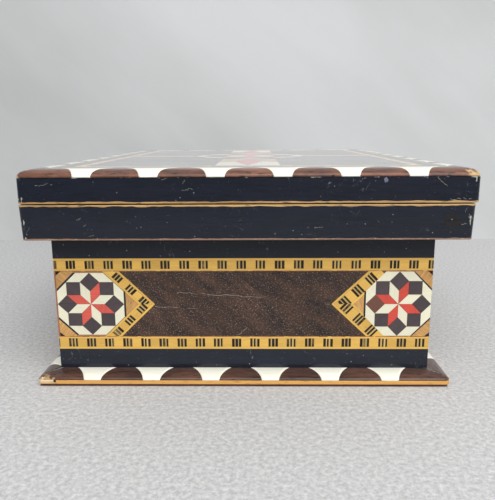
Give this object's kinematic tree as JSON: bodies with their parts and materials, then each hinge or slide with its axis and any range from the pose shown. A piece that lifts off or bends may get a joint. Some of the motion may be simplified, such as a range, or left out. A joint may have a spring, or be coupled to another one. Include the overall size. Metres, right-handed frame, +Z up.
{
  "type": "puzzle box",
  "caption": "Marquetry puzzle box with a hinged lid, secret sliding mouldings under the lid, a hidden key and a box lock.",
  "frame": {"origin": "middle of the box's footprint, on the surface that the box stands on", "axes": "+X from the hinge side to the lock side, +Y from the end with the secret moulding to the back, +Z up"},
  "size_m": [0.122, 0.158, 0.0615],
  "materials": {
    "ebonised": "polished black veneer with fine scratches",
    "rosewood": "polished reddish-brown veneer",
    "walnut": "polished dark brown veneer",
    "boxwood": "polished yellow stringing",
    "redwood": "polished red inlay",
    "bone": "polished bone-coloured inlay",
    "cedar": "bare planed wood",
    "brass": "satin, slightly tarnished",
    "steel": "plain",
    "felt": "thin wool felt",
    "velvet": "short red pile"
  },
  "bodies": {
    "case": {"base_felt": "felt", "base_plate": "rosewood", "floor_lining": "velvet", "wall_front": "cedar", "wall_back": "cedar", "wall_hinge_side": "cedar", "wall_lock_side": "cedar", "marquetry_front": "walnut", "marquetry_back": "walnut", "marquetry_hinge_side": "walnut", "marquetry_lock_side": "walnut", "end_runner": "boxwood", "side_runner": "boxwood", "collar_hinge_side": "cedar", "collar_hinge_side_facing": "ebonised", "collar_back": "cedar", "collar_back_facing": "ebonised", "hinge_front_case_leaf": "brass", "hinge_front_pin": "steel", "hinge_front_case_screw_1": "brass", "hinge_front_case_screw_2": "brass", "hinge_rear_case_leaf": "brass", "hinge_rear_pin": "steel", "hinge_rear_case_screw_1": "brass", "hinge_rear_case_screw_2": "brass", "lock_plate": "brass", "lock_case": "steel", "key_post": "steel", "bolt_spring": "steel", "lock_screw_1": "brass", "lock_screw_2": "brass", "key": "brass"},
    "lid": {"lid_board": "cedar", "lid_marquetry": "rosewood", "lid_facing_front": "ebonised", "lid_facing_back": "ebonised", "lid_facing_hinge_side": "ebonised", "lid_facing_lock_side": "ebonised", "hinge_front_lid_leaf": "brass", "hinge_front_lid_screw_1": "brass", "hinge_front_lid_screw_2": "brass", "hinge_rear_lid_leaf": "brass", "hinge_rear_lid_screw_1": "brass", "hinge_rear_lid_screw_2": "brass", "strike_plate": "brass", "strike_screw_1": "brass", "strike_screw_2": "brass"},
    "end_slide": {"end_moulding": "cedar", "end_moulding_facing": "ebonised", "end_moulding_cap": "ebonised"},
    "side_slide": {"side_moulding": "cedar", "side_moulding_facing": "ebonised", "side_moulding_cap": "ebonised"},
    "bolt": {"lock_bolt": "brass"}
  },
  "joints": [
    {"name": "lid_hinge", "type": "hinge", "parent": "case", "child": "lid", "pos_m": [-0.05978, 0, 0.0524], "axis": [0, -1, 0], "range_deg": [0, 105]},
    {"name": "end_moulding_slide", "type": "slide", "parent": "case", "child": "end_slide", "axis": [1, 0, 0], "range_m": [0, 0.026]},
    {"name": "side_moulding_slide", "type": "slide", "parent": "case", "child": "side_slide", "axis": [0, 1, 0], "range_m": [0, 0.04]},
    {"name": "bolt_throw", "type": "slide", "parent": "case", "child": "bolt", "axis": [0, 0, 1], "range_m": [0, 0.003]}
  ]
}
